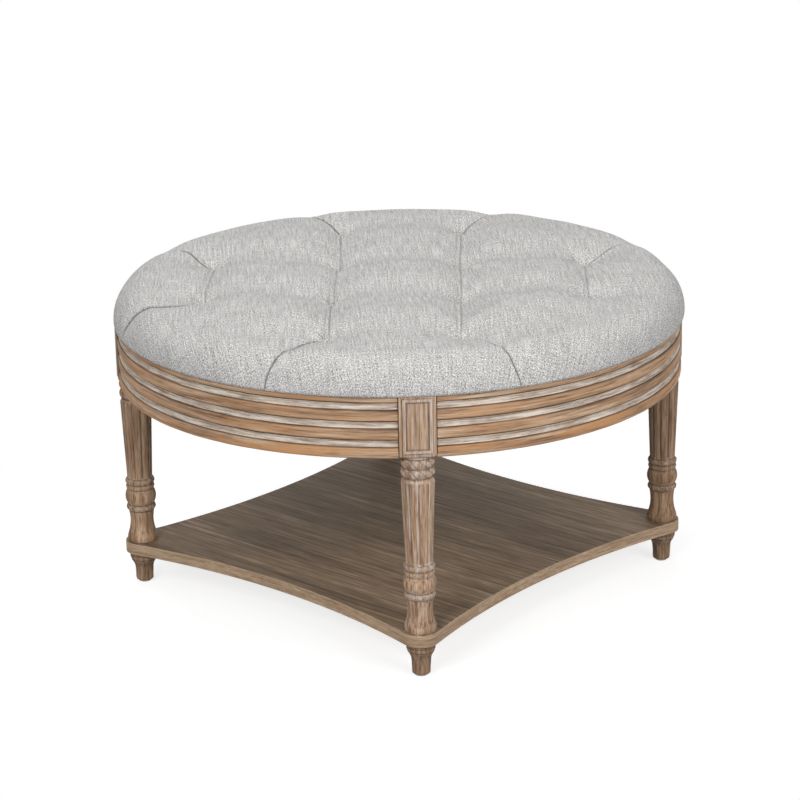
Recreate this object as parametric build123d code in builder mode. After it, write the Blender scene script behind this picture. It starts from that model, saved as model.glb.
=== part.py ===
from build123d import *
import math
import os

os.makedirs("parts", exist_ok=True)

# Overall sizes
cushion_radius = 400
cushion_height = 76
cushion_overhang = 4
apron_height = 85
shelf_clearance = 245
shelf_thickness = 17
foot_height = 44
glide_height = 3
leg_inset = 20.5
overrun = 5
fit_gap = 0.3

# Radii of the apron and of the circle that the legs stand on
apron_radius = cushion_radius - cushion_overhang
leg_circle = apron_radius - leg_inset

# Heights above the floor
shelf_bottom = glide_height + foot_height
shelf_top = shelf_bottom + shelf_thickness
apron_bottom = shelf_top + shelf_clearance
apron_top = apron_bottom + apron_height
apron_middle = (apron_bottom + apron_top) / 2

# Directions of the four legs, and of the rails that start at them, seen from above
leg_angles = {"right": 0, "back": 90, "left": 180, "front": 270}
rail_angles = {"back_right": 0, "back_left": 90, "front_left": 180, "front_right": 270}

# Apron rails: plain reeds with coves between them
rail_wall = 22
top_reed_height = 10
cove_share = 0.44
cove_depth = 3.5
cove_lip = 3.5
cove_count = 3
rail_joint = 0.5

# Leg blocks, with a sunk panel in the outer face
block_width = 49
block_proud = 2
block_chamfer = 2.2
panel_width = 38
panel_margin = 6
panel_bevel = 3.5
panel_depth = 2.5

# Leg turnings, from the shelf up to the block
bell_height = 46
bell_lip_height = 7
bell_radius = 21.2
neck_radius = 16.6
lower_ring_height = 9
lower_ring_radius = 20.9
barrel_height = 23
barrel_radius = 21.8
upper_ring_height = 16
upper_ring_radius = 20.9
waist_radius = 18.2
shaft_foot_radius = 18
shaft_head_radius = 22.1
collar_height = 4
collar_radius = 22.4
neck_gap_height = 3
bead_height = 14
bead_radius = 22.4
bead_groove_radius = 20
bead_count = 2

# Reeded shaft: narrow grooves that stop short of both ends
groove_count = 10
groove_radius = 2
groove_depth = 1.6
groove_margin = 7

# Turned feet, and the glides under them
foot_collar_height = 12
foot_collar_radius = 19.2
foot_flare_height = 10
foot_flare_radius = 15
foot_ankle_radius = 13.1
foot_end_radius = 12.2
glide_radius = 9
glide_edge = 1

# Shelf with hollow sides and round tips, in an edge band
tip_radius = 24.5
shelf_sag = 32
band_wall = 6

# Deck, base foam and turned-under cover
deck_thickness = 12
deck_inset = 16
turn_under = 1.5
foam_thickness = 8.5
foam_inset = 4

# Cushion form
crown_drop = 28
seat_inset = 10
belly_height = 13
cushion_shoulder = 36

# Tufts: a square grid without its corners, turned a little from the legs, all pulled down to one level
tuft_margin = 120
tuft_turn = -4.4
tuft_floor = 26
tuft_floor_radius = 3
puff_radius = 76
pleat_depth = 28
pleat_half_width = 62
valley_depth = 17
valley_half_width = 66
rim_pleat_depth = 15
rim_pleat_half_width = 30
rim_pleat_inset = 12
rim_pleat_bend = 30
crease_width = 2
puff_slope = 5
rim_slope = 22

# Twine, toggles and dust cover
twine_radius = 1.5
twine_sides = 6
twine_top = 24
toggle_length = 24
toggle_width = 7
dust_cover_thickness = 0.8
dust_cover_gap = 10
dust_cover_lap = 18

# Corner braces
brace_thickness = 24
brace_height = 44
brace_half_length = 150

# Fixings
bore_fit = 0.1
tenon_thickness = 8
tenon_inset = 9
tenon_length = 34
tenon_height = 50
bolt_radius = 4
bolt_length = 62
nut_radius = 7.5
bolt_tail = 2
nut_height = 6.5
screw_radius = 2.2
screw_head_radius = 4.2
screw_head_height = 2.6
deck_screw_length = 54
deck_screw_offset = 60
deck_screw_inset = 18
stud_radius = 4
stud_in_leg = 36
stud_in_foot = 28

# Worked-out places
bell_top = shelf_top + bell_height
lower_ring_top = bell_top + lower_ring_height
barrel_top = lower_ring_top + barrel_height
shaft_bottom = barrel_top + upper_ring_height
collar_top = apron_bottom - neck_gap_height - bead_count * bead_height
shaft_top = collar_top - collar_height
groove_offset = groove_radius - groove_depth
groove_foot = Vector(shaft_foot_radius + groove_offset, 0, shaft_bottom + groove_margin)
groove_head = Vector(shaft_head_radius + groove_offset, 0, shaft_top - groove_margin)
panel_height = apron_height - 2 * panel_margin
reed_pitch = (apron_height - top_reed_height) / cove_count
cove_height = reed_pitch * cove_share
reed_height = reed_pitch - cove_height
block_inner = leg_circle - block_width / 2
block_face_radius = apron_radius + block_proud
block_face = block_face_radius - leg_circle
rail_inner_radius = apron_radius - rail_wall
tenon_distance = rail_inner_radius + tenon_inset
slot_width = block_width + 2 * rail_joint
tenon_middle = (block_width + rail_joint) / 2
brace_inner = block_inner - brace_thickness
brace_bottom = apron_top - brace_height
brace_middle = apron_top - brace_height / 2
deck_screw_distance = brace_inner + deck_screw_inset
bolt_tip = brace_inner - nut_height - bolt_tail + bolt_length
deck_radius = apron_radius - deck_inset
foam_radius = deck_radius - foam_inset
dust_cover_radius = brace_inner - dust_cover_gap
under_radius = dust_cover_radius - dust_cover_lap
deck_bottom = apron_top + turn_under
deck_top = deck_bottom + deck_thickness
deck_screw_top = brace_bottom + deck_screw_length
foam_top = deck_top + foam_thickness
half_side = leg_circle * math.cos(math.pi / 4)
side_middle = half_side + tip_radius - shelf_sag
side_radius = (side_middle**2 - 2 * side_middle * half_side + leg_circle**2 - tip_radius**2) / (
    2 * (tip_radius - side_middle + half_side)
)
side_centre = side_middle + side_radius
half_spacing = (cushion_radius - tuft_margin) / math.hypot(1, 3)
tuft_side = Vector(half_spacing, 0).rotate(Axis.Z, tuft_turn)
tuft_back = Vector(0, half_spacing).rotate(Axis.Z, tuft_turn)
inner_tufts = [tuft_side * x + tuft_back * y for x in (-1, 1) for y in (-1, 1)]
outer_tufts = [tuft_side * x + tuft_back * y for x in (-3, 3) for y in (-1, 1)]
outer_tufts += [tuft_side * x + tuft_back * y for x in (-1, 1) for y in (-3, 3)]
tufts = inner_tufts + outer_tufts
rim_pleat_angles = [199, 150, 340, 21, 240, 105, 290, 64]
rim_pleat_foot = cushion_radius - rim_pleat_inset
crown_radius = (cushion_radius**2 + crown_drop**2) / (2 * crown_drop)
crown_centre = apron_top + cushion_height - crown_radius
tuft_rise = Vector(0, 0, apron_top + tuft_floor - crown_centre)


def save(part, name):
    part.label = name
    export_step(part, f"parts/{name}.step")


def around(piece, angle, reach=0):
    """A piece modelled at the origin facing +X, moved out to its place round the table."""
    with BuildPart() as placed:
        with PolarLocations(reach, 1, start_angle=angle):
            add(piece)
    return placed.part


def at_four_legs(piece):
    """A piece modelled at the leg on +X, repeated at all four legs."""
    with BuildPart() as placed:
        with PolarLocations(0, len(leg_angles)):
            add(piece)
    return placed.part


# Apron rail, modelled between the legs at 0 and 90 degrees
with BuildPart() as rail:
    with BuildSketch(Plane.XZ) as rail_section:
        with BuildLine():
            edge = Line((rail_inner_radius, apron_bottom), (apron_radius, apron_bottom))
            for step in range(cove_count):
                low = apron_bottom + reed_height + step * reed_pitch
                high = low + cove_height
                edge = Polyline(
                    edge @ 1,
                    (apron_radius, low),
                    (apron_radius - cove_depth, low + cove_lip),
                    (apron_radius - cove_depth, high - cove_lip),
                    (apron_radius, high),
                )
            Polyline(
                edge @ 1,
                (apron_radius, apron_top),
                (rail_inner_radius, apron_top),
                (rail_inner_radius, apron_bottom),
            )
        make_face()
    revolve(axis=Axis.Z, revolution_arc=90)
    with BuildSketch(Plane.XY.offset(apron_bottom)) as leg_slots:
        with Locations((leg_circle, 0), (0, leg_circle)):
            Rectangle(slot_width, slot_width)
    extrude(amount=apron_height, mode=Mode.SUBTRACT)
    with Locations((tenon_distance, tenon_middle, apron_middle)):
        Box(tenon_thickness, tenon_length, tenon_height, mode=Mode.SUBTRACT)
    with Locations((tenon_middle, tenon_distance, apron_middle)):
        Box(tenon_length, tenon_thickness, tenon_height, mode=Mode.SUBTRACT)

for side, angle in rail_angles.items():
    save(around(rail.part, angle), f"apron_rail_{side}")

# Leg, modelled on its own axis with its panel facing +X
with BuildPart() as leg:
    with BuildSketch(Plane.XY.offset(apron_bottom)) as block_plan:
        with Locations(((block_face - block_width / 2) / 2, 0)):
            Rectangle(block_face + block_width / 2, block_width)
        with Locations((-leg_circle, 0)):
            Circle(block_face_radius, mode=Mode.INTERSECT)
    extrude(amount=apron_height)
    chamfer(leg.edges().group_by(Axis.Z)[0], block_chamfer)
    with BuildSketch(Plane(origin=(block_face, 0, apron_middle), x_dir=(0, 1, 0), z_dir=(1, 0, 0))):
        Rectangle(panel_width, panel_height)
    with BuildSketch(
        Plane(origin=(block_face - panel_depth, 0, apron_middle), x_dir=(0, 1, 0), z_dir=(1, 0, 0))
    ):
        Rectangle(panel_width - 2 * panel_bevel, panel_height - 2 * panel_bevel)
    loft(mode=Mode.SUBTRACT)
    with BuildSketch(Plane.XZ) as turning:
        with BuildLine():
            lip = Polyline(
                (0, shelf_top),
                (bell_radius, shelf_top),
                (bell_radius, shelf_top + bell_lip_height),
            )
            bell = ThreePointArc(
                lip @ 1,
                (neck_radius, (shelf_top + bell_lip_height + bell_top) / 2),
                (waist_radius, bell_top),
            )
            ring = Polyline(
                bell @ 1,
                (lower_ring_radius, (bell_top + lower_ring_top) / 2),
                (waist_radius, lower_ring_top),
            )
            barrel = ThreePointArc(
                ring @ 1,
                (barrel_radius, (lower_ring_top + barrel_top) / 2),
                (waist_radius, barrel_top),
            )
            top = Polyline(
                barrel @ 1,
                (upper_ring_radius, (barrel_top + shaft_bottom) / 2),
                (shaft_foot_radius, shaft_bottom),
                (shaft_head_radius, shaft_top),
                (collar_radius, shaft_top),
                (collar_radius, collar_top),
                (bead_groove_radius, collar_top),
            )
            for step in range(bead_count):
                low = collar_top + step * bead_height
                top = Polyline(
                    top @ 1,
                    (bead_radius, low + bead_height / 2),
                    (bead_groove_radius, low + bead_height),
                )
            Polyline(top @ 1, (bead_groove_radius, apron_bottom), (0, apron_bottom), (0, shelf_top))
        make_face()
    revolve(axis=Axis.Z)
    with PolarLocations(0, groove_count):
        with Locations(Plane(origin=groove_foot, z_dir=groove_head - groove_foot)):
            Cylinder(
                groove_radius,
                (groove_head - groove_foot).length,
                align=(Align.CENTER, Align.CENTER, Align.MIN),
                mode=Mode.SUBTRACT,
            )
    with Locations(Plane(origin=(0, 0, shelf_top), z_dir=(0, 0, -1))):
        Hole(stud_radius + bore_fit, depth=stud_in_leg)
    with Locations(Plane(origin=(-block_width / 2, 0, brace_middle), z_dir=(-1, 0, 0))):
        Hole(bolt_radius + bore_fit, depth=bolt_tip - block_inner)
    with Locations(
        (tenon_distance - leg_circle, tenon_middle, apron_middle),
        (tenon_distance - leg_circle, -tenon_middle, apron_middle),
    ):
        Box(tenon_thickness, tenon_length, tenon_height, mode=Mode.SUBTRACT)

# Turned foot, on its own axis
with BuildPart() as foot:
    with BuildSketch(Plane.XZ) as foot_section:
        with BuildLine():
            Polyline(
                (0, glide_height),
                (foot_end_radius, glide_height),
                (foot_ankle_radius, shelf_bottom - foot_collar_height - foot_flare_height),
                (foot_flare_radius, shelf_bottom - foot_collar_height - foot_flare_height / 2),
                (foot_collar_radius, shelf_bottom - foot_collar_height),
                (foot_collar_radius, shelf_bottom),
                (0, shelf_bottom),
                (0, glide_height),
            )
        make_face()
    revolve(axis=Axis.Z)
    with Locations(Plane(origin=(0, 0, shelf_bottom), z_dir=(0, 0, 1))):
        Hole(stud_radius + bore_fit, depth=stud_in_foot)

for side, angle in leg_angles.items():
    save(around(leg.part, angle, leg_circle), f"leg_{side}")
    save(around(foot.part, angle, leg_circle), f"foot_{side}")

# Glides under the feet
with BuildPart() as glide:
    with BuildSketch(Plane.XY) as glide_plan:
        Circle(glide_radius)
    extrude(amount=glide_height)
    chamfer(glide.edges().group_by(Axis.Z)[0], glide_edge)
with BuildPart() as floor_glides:
    with PolarLocations(leg_circle, len(leg_angles)):
        add(glide.part)
save(floor_glides.part, "floor_glides")


def shelf_outline(inset):
    """The shelf's outline, drawn inside a BuildLine block: round tips joined by hollow sides."""
    for angle in leg_angles.values():
        tip = Vector(leg_circle, 0).rotate(Axis.Z, angle)
        outward = Vector(tip_radius - inset, 0).rotate(Axis.Z, angle)
        before = Vector(side_centre, 0).rotate(Axis.Z, angle - 45)
        after = Vector(side_centre, 0).rotate(Axis.Z, angle + 45)
        next_tip = Vector(leg_circle, 0).rotate(Axis.Z, angle + 90)
        start = tip + (before - tip).normalized() * (tip_radius - inset)
        turn = tip + (after - tip).normalized() * (tip_radius - inset)
        finish = next_tip + (after - next_tip).normalized() * (tip_radius - inset)
        ThreePointArc(start, tip + outward, turn)
        ThreePointArc(turn, Vector(side_middle - inset, 0).rotate(Axis.Z, angle + 45), finish)


# Shelf board inside its edge band
with BuildPart() as shelf_panel:
    with BuildSketch(Plane.XY.offset(shelf_bottom)) as panel_plan:
        with BuildLine():
            shelf_outline(band_wall)
        make_face()
        with PolarLocations(leg_circle, len(leg_angles)):
            Circle(stud_radius + fit_gap, mode=Mode.SUBTRACT)
    extrude(amount=shelf_thickness)
save(shelf_panel.part, "shelf_panel")

with BuildPart() as shelf_edge:
    with BuildSketch(Plane.XY.offset(shelf_bottom)) as edge_plan:
        with BuildLine():
            shelf_outline(0)
        make_face()
        with BuildLine():
            shelf_outline(band_wall)
        make_face(mode=Mode.SUBTRACT)
        Rectangle(
            cushion_radius + overrun,
            cushion_radius + overrun,
            align=(Align.MIN, Align.MIN),
            mode=Mode.INTERSECT,
        )
    extrude(amount=shelf_thickness)
for side, angle in rail_angles.items():
    save(around(shelf_edge.part, angle), f"shelf_edge_{side}")

with BuildPart() as shelf_studs:
    with BuildSketch(Plane.XY.offset(shelf_bottom - stud_in_foot)) as stud_plan:
        with PolarLocations(leg_circle, len(leg_angles)):
            Circle(stud_radius)
    extrude(amount=stud_in_foot + shelf_thickness + stud_in_leg)
save(shelf_studs.part, "shelf_studs")

# Corner brace, modelled behind the leg on +X and notched round its block
with BuildPart() as brace:
    with BuildSketch(Plane.XY.offset(brace_bottom)) as brace_plan:
        Circle(rail_inner_radius - fit_gap)
        with Locations((brace_inner, 0)):
            Rectangle(
                rail_inner_radius,
                2 * brace_half_length,
                align=(Align.MIN, Align.CENTER),
                mode=Mode.INTERSECT,
            )
        with Locations((block_inner, 0)):
            Rectangle(
                block_width,
                block_width + 2 * fit_gap,
                align=(Align.MIN, Align.CENTER),
                mode=Mode.SUBTRACT,
            )
    extrude(amount=brace_height)
    with Locations(Plane(origin=(brace_inner, 0, brace_middle), z_dir=(-1, 0, 0))):
        Hole(bolt_radius + fit_gap, depth=brace_thickness)
    with Locations(Plane(origin=(deck_screw_distance, deck_screw_offset, brace_bottom), z_dir=(0, 0, -1))):
        CounterBoreHole(screw_radius + bore_fit, screw_head_radius + bore_fit, screw_head_height)
for side, angle in leg_angles.items():
    save(around(brace.part, angle), f"corner_brace_{side}")

# Loose tenons between the rail ends and one leg block
with BuildPart() as leg_tenons:
    with Locations(
        (tenon_distance, tenon_middle, apron_middle),
        (tenon_distance, -tenon_middle, apron_middle),
    ):
        Box(tenon_thickness, tenon_length, tenon_height)
save(at_four_legs(leg_tenons.part), "rail_tenons")

# Hanger bolt and nut that pull one leg block against its brace
with BuildPart() as brace_bolt:
    with BuildSketch(Plane(origin=(bolt_tip, 0, brace_middle), z_dir=(-1, 0, 0))) as bolt_section:
        Circle(bolt_radius)
    extrude(amount=bolt_length)
save(at_four_legs(brace_bolt.part), "brace_bolts")

with BuildPart() as brace_nut:
    with BuildSketch(Plane(origin=(brace_inner, 0, brace_middle), z_dir=(-1, 0, 0))) as nut_section:
        RegularPolygon(nut_radius, 6)
        Circle(bolt_radius + bore_fit, mode=Mode.SUBTRACT)
    extrude(amount=nut_height)
save(at_four_legs(brace_nut.part), "brace_nuts")

# Screw from one brace up into the deck, its head let into the brace
with BuildPart() as deck_screw:
    with BuildSketch(Plane.XY.offset(brace_bottom)) as screw_head:
        with Locations((deck_screw_distance, deck_screw_offset)):
            Circle(screw_head_radius)
    extrude(amount=screw_head_height)
    with BuildSketch(Plane.XY.offset(brace_bottom)) as screw_shank:
        with Locations((deck_screw_distance, deck_screw_offset)):
            Circle(screw_radius)
    extrude(amount=deck_screw_length)
save(at_four_legs(deck_screw.part), "deck_screws")

# Round deck, with a hole for the twine of each tuft
with BuildPart() as seat_deck:
    with BuildSketch(Plane.XY.offset(deck_bottom)) as deck_plan:
        Circle(deck_radius)
        with Locations(*tufts):
            RegularPolygon(twine_radius, twine_sides, mode=Mode.SUBTRACT)
    extrude(amount=deck_thickness)
    with BuildSketch(Plane.XY.offset(deck_bottom)) as pilot_plan:
        with PolarLocations(0, len(leg_angles)):
            with Locations((deck_screw_distance, deck_screw_offset)):
                Circle(screw_radius + bore_fit)
    extrude(amount=deck_screw_top - deck_bottom, mode=Mode.SUBTRACT)
save(seat_deck.part, "seat_deck")

# Firm base foam under the tufted cover
with BuildPart() as base_foam:
    with BuildSketch(Plane.XY.offset(deck_top)) as foam_plan:
        Circle(foam_radius)
        with Locations(*tufts):
            RegularPolygon(twine_radius, twine_sides, mode=Mode.SUBTRACT)
    extrude(amount=foam_thickness)
save(base_foam.part, "base_foam")


def crown_point(reach, drop=0):
    """The radius and height of a point that lies drop under the crown of the cushion."""
    swing = math.asin(reach / crown_radius)
    distance = crown_radius - drop
    return distance * math.sin(swing), crown_centre + distance * math.cos(swing)


def dip_side(reach, depth, floor, slope):
    """One convex side of a dip, from the crown at y = 0 down to its narrow floor."""
    direction = math.copysign(1, reach)
    angle = math.radians(slope)
    return TangentArc(
        (reach, 0), (direction * floor, -depth), tangent=(-direction * math.cos(angle), -math.sin(angle))
    )


def dip_outline(reach, depth, slope):
    """A sewn fold in cross section, open upwards, drawn inside a BuildLine block."""
    right = dip_side(reach, depth, crease_width / 2, slope)
    left = dip_side(-reach, depth, crease_width / 2, slope)
    Line(right @ 1, left @ 1)
    Polyline(right @ 0, (reach, depth), (-reach, depth), left @ 0)


def well_cut(depth):
    """The funnel that one tuft pulls into the crown, with the crown at its origin."""
    with BuildPart() as well:
        with BuildSketch(Plane.XZ) as well_section:
            with BuildLine():
                puff = dip_side(puff_radius, depth, tuft_floor_radius, puff_slope)
                Polyline(puff @ 1, (0, -depth), (0, depth), (puff_radius, depth), puff @ 0)
            make_face()
        revolve(axis=Axis.Z)
    return well.part


def fold_cut(reach, depth, place, half_length):
    """A fold that follows the crown front to back, at x = place."""
    top = crown_point(abs(place))[1]
    axis = Axis((place, 0, crown_centre), (1, 0, 0))
    swing = math.degrees(math.asin(half_length / crown_radius))
    with BuildPart() as fold:
        with BuildSketch(Plane(origin=(place, 0, top), x_dir=(1, 0, 0), z_dir=(0, -1, 0))) as section:
            with BuildLine():
                dip_outline(reach, depth, puff_slope)
            make_face()
        revolve(axis=axis, revolution_arc=2 * swing)
    return fold.part.rotate(axis, -swing)


def rim_cut(length):
    """A fold from a tuft over the shoulder to the seat, along +X, with the foot of its floor at x = 0."""
    inner = crown_point(rim_pleat_foot - length)
    outer = crown_point(cushion_radius)
    with BuildPart() as fold:
        with BuildLine(Plane.XZ) as path:
            FilletPolyline(
                (-length, inner[1]),
                (rim_pleat_depth, outer[1]),
                (rim_pleat_depth, apron_top - overrun),
                radius=rim_pleat_bend + rim_pleat_depth,
            )
        with BuildSketch(Plane(origin=path.line @ 0, x_dir=(0, 1, 0), z_dir=path.line % 0)) as section:
            with BuildLine():
                dip_outline(rim_pleat_half_width, rim_pleat_depth, rim_slope)
            make_face()
        sweep(path=path.line)
    return fold.part


# Outer form of the tufted cushion: a crowned round pad with drawn-in sides
with BuildPart() as cushion_form:
    with BuildSketch(Plane.XZ) as cushion_section:
        with BuildLine():
            seat = Line((0, apron_top), (cushion_radius - seat_inset, apron_top))
            belly = TangentArc((cushion_radius, apron_top + belly_height), seat @ 1, tangent=(0, -1))
            wall = Line(belly @ 0, (cushion_radius, crown_point(cushion_radius)[1]))
            crown = ThreePointArc(wall @ 1, crown_point(cushion_radius / 2), crown_point(0))
            Line(crown @ 1, seat @ 0)
        make_face()
        fillet(cushion_section.vertices().sort_by_distance(wall @ 1)[0], cushion_shoulder)
    revolve(axis=Axis.Z)

with BuildPart() as tufted_cover:
    add(cushion_form.part)
    for spots in (inner_tufts, outer_tufts):
        well_depth = crown_radius - (spots[0] + tuft_rise).length
        well = well_cut(well_depth)
        for spot in spots:
            outward = (spot + tuft_rise).normalized()
            with Locations(Plane(origin=Vector(0, 0, crown_centre) + outward * crown_radius, z_dir=outward)):
                add(well, mode=Mode.SUBTRACT)
    for place in (-half_spacing, half_spacing):
        pleat = fold_cut(pleat_half_width, pleat_depth, place, 3 * half_spacing)
        add(pleat.rotate(Axis.Z, tuft_turn), mode=Mode.SUBTRACT)
        valley = fold_cut(valley_half_width, valley_depth, place, 3 * half_spacing)
        add(valley.rotate(Axis.Z, tuft_turn + 90), mode=Mode.SUBTRACT)
    for place in (-3 * half_spacing, 3 * half_spacing):
        pleat = fold_cut(pleat_half_width, pleat_depth, place, half_spacing)
        add(pleat.rotate(Axis.Z, tuft_turn), mode=Mode.SUBTRACT)
        valley = fold_cut(valley_half_width, valley_depth, place, half_spacing)
        add(valley.rotate(Axis.Z, tuft_turn + 90), mode=Mode.SUBTRACT)
    for spot, rim_angle in zip(outer_tufts, rim_pleat_angles):
        foot_point = Vector(rim_pleat_foot, 0).rotate(Axis.Z, rim_angle)
        run = foot_point - spot
        heading = math.degrees(math.atan2(run.Y, run.X))
        with Locations(Location((foot_point.X, foot_point.Y, 0), (0, 0, heading))):
            add(rim_cut(run.length), mode=Mode.SUBTRACT)
    with BuildSketch(Plane.XY.offset(deck_bottom)) as deck_hollow:
        Circle(deck_radius)
    extrude(amount=deck_thickness, mode=Mode.SUBTRACT)
    with BuildSketch(Plane.XY.offset(deck_top)) as foam_hollow:
        Circle(foam_radius)
    extrude(amount=foam_thickness, mode=Mode.SUBTRACT)
    with BuildSketch(Plane.XY.offset(apron_top)) as under_opening:
        Circle(under_radius)
        with PolarLocations(0, len(leg_angles)):
            with Locations((deck_screw_distance, deck_screw_offset)):
                Circle(screw_radius + bore_fit)
    extrude(amount=turn_under, mode=Mode.SUBTRACT)
    with BuildSketch(Plane.XY.offset(foam_top)) as twine_bores:
        with Locations(*tufts):
            RegularPolygon(twine_radius, twine_sides)
    extrude(amount=apron_top + twine_top - foam_top, mode=Mode.SUBTRACT)
save(tufted_cover.part, "tufted_cover")

# Laid twine from each tuft down to a toggle under the deck
with BuildPart() as tuft_twine:
    with BuildSketch(Plane.XY.offset(deck_bottom)) as twine_plan:
        with Locations(*tufts):
            RegularPolygon(twine_radius, twine_sides)
    extrude(amount=twine_top - turn_under)
save(tuft_twine.part, "tuft_twine")

with BuildPart() as twine_toggles:
    with BuildSketch(Plane.XY.offset(apron_top)) as toggle_plan:
        with Locations(*tufts):
            Rectangle(toggle_length, toggle_width)
    extrude(amount=turn_under)
save(twine_toggles.part, "twine_toggles")

with BuildPart() as dust_cover:
    with BuildSketch(Plane.XY.offset(apron_top - dust_cover_thickness)) as dust_plan:
        Circle(dust_cover_radius)
    extrude(amount=dust_cover_thickness)
save(dust_cover.part, "dust_cover")
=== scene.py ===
import math

import bmesh
import bpy
import numpy as np
from mathutils import Matrix, Vector


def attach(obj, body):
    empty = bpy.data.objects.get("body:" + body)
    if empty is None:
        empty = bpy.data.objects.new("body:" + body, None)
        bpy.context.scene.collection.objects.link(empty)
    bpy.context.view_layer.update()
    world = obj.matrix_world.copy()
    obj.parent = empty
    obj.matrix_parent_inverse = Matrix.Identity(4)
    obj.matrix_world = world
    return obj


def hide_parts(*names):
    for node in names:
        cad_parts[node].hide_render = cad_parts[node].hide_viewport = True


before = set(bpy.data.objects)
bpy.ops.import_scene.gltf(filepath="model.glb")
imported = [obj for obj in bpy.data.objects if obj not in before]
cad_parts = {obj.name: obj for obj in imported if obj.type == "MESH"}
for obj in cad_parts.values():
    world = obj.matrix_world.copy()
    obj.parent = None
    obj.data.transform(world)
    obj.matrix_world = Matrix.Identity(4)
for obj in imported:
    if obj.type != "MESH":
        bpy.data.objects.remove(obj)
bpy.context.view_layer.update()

MM = 0.001

# Sizes of the table in millimetres, as the model has them.
# Only SHOULDER, the radius that the cushion's side is rolled over with, is larger here, as soft wadding lies.
APRON_RADIUS = 396
APRON_BOTTOM = 309
APRON_TOP = 394
RAIL_INNER = 374
RAIL_END = 25.2
LEG_CIRCLE = 375.5
SHELF_BOTTOM = 47
SHELF_TOP = 64
VENEER = 0.8
TIP_RADIUS = 24.5
SHELF_SAG = 32
BAND_WALL = 6
CUSHION_RADIUS = 400
CUSHION_TOP = 470
CROWN_DROP = 28
SHOULDER = 52
UNDER_RADIUS = 299
TUFT_STEP = 88.54
TUFT_TURN = -4.4
LEG_ANGLES = {"right": 0, "back": 90, "left": 180, "front": 270}
RAIL_ANGLES = {"back_right": 0, "back_left": 90, "front_left": 180, "front_right": 270}


def screen(red, green, blue):
    """A colour as it looks on screen, from 0 to 255, turned into the linear colour that a shader takes."""
    linear = []
    for value in (red, green, blue):
        share = value / 255
        linear.append(share / 12.92 if share <= 0.04045 else ((share + 0.055) / 1.055) ** 2.4)
    return (*linear, 1.0)


# Shader expressions


class Wire:
    """A node's output that takes part in Python arithmetic."""

    def __init__(self, finish, socket):
        self.finish = finish
        self.socket = socket

    def math(self, operation, *values):
        return self.finish.node("ShaderNodeMath", {"operation": operation}, (self, *values))

    def __add__(self, other):
        return self.math("ADD", other)

    __radd__ = __add__

    def __sub__(self, other):
        return self.math("SUBTRACT", other)

    def __rsub__(self, other):
        return self.finish.node("ShaderNodeMath", {"operation": "SUBTRACT"}, (other, self))

    def __mul__(self, other):
        return self.math("MULTIPLY", other)

    __rmul__ = __mul__


class Finish:
    """The nodes of one material, or of the room, written as expressions."""

    def __init__(self, name, owner=None):
        self.owner = owner or bpy.data.materials.new(name)
        self.owner.use_nodes = True
        self.tree = self.owner.node_tree
        self.tree.nodes.clear()

    def node(self, kind, settings=None, inputs=(), output=0):
        made = self.tree.nodes.new(kind)
        for key, value in (settings or {}).items():
            if key == "stops":
                elements = made.color_ramp.elements
                while len(elements) < len(value):
                    elements.new(0.5)
                for element, (place, colour) in zip(elements, value):
                    element.position = place
                    element.color = colour
            else:
                setattr(made, key, value)
        for key, value in inputs.items() if isinstance(inputs, dict) else enumerate(inputs):
            if isinstance(value, Wire):
                self.tree.links.new(value.socket, made.inputs[key])
            else:
                made.inputs[key].default_value = value
        return Wire(self, made.outputs[output] if made.outputs else None)

    def place(self):
        """The point on the surface, in the table's own frame and in metres."""
        return self.node("ShaderNodeTexCoord", output="Object")

    def split(self, vector):
        return [self.node("ShaderNodeSeparateXYZ", inputs=[vector], output=axis) for axis in range(3)]

    def join(self, x, y, z):
        return self.node("ShaderNodeCombineXYZ", inputs=[x, y, z])

    def unrolled(self, radius):
        """The surface unrolled: how far round the table a point lies, at a radius in metres, and its height."""
        x, y, z = self.split(self.place())
        return self.join(y.math("ARCTAN2", x) * radius, z, 0.0)

    def noise(self, vector, sizes, shift=(0, 0, 0), detail=3.0, roughness=0.5, distortion=0.0):
        """Noise with about as many spots to the metre along each axis as sizes says."""
        inputs = {"Vector": vector, "Scale": sizes, "Location": shift}
        stretched = self.node("ShaderNodeMapping", inputs=inputs)
        inputs = {
            "Vector": stretched,
            "Scale": 1.0,
            "Detail": detail,
            "Roughness": roughness,
            "Distortion": distortion,
        }
        return self.node("ShaderNodeTexNoise", inputs=inputs)

    def ease(self, value, low, high, start=0.0, end=1.0):
        """From start at low to end at high, with a smooth step between."""
        inputs = {"Value": value, "From Min": low, "From Max": high, "To Min": start, "To Max": end}
        return self.node("ShaderNodeMapRange", {"interpolation_type": "SMOOTHSTEP"}, inputs)

    def mix(self, share, first, second):
        """From the first colour to the second as share goes from 0 to 1."""
        return self.node("ShaderNodeMix", {"data_type": "RGBA"}, {0: share, 6: first, 7: second}, output=2)

    def ramp(self, value, *stops):
        return self.node("ShaderNodeValToRGB", {"stops": stops}, [value])

    def seen(self, name, output="Fac"):
        """A value that is stored on the points of the piece."""
        return self.node("ShaderNodeAttribute", {"attribute_name": name}, output=output)

    def bump(self, height, distance, strength):
        return self.node("ShaderNodeBump", inputs={"Height": height, "Distance": distance, "Strength": strength})

    def surface(self, sockets):
        shader = self.node("ShaderNodeBsdfPrincipled", inputs=sockets)
        self.node("ShaderNodeOutputMaterial", inputs={"Surface": shader})
        return self.owner


# Finishes


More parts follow.
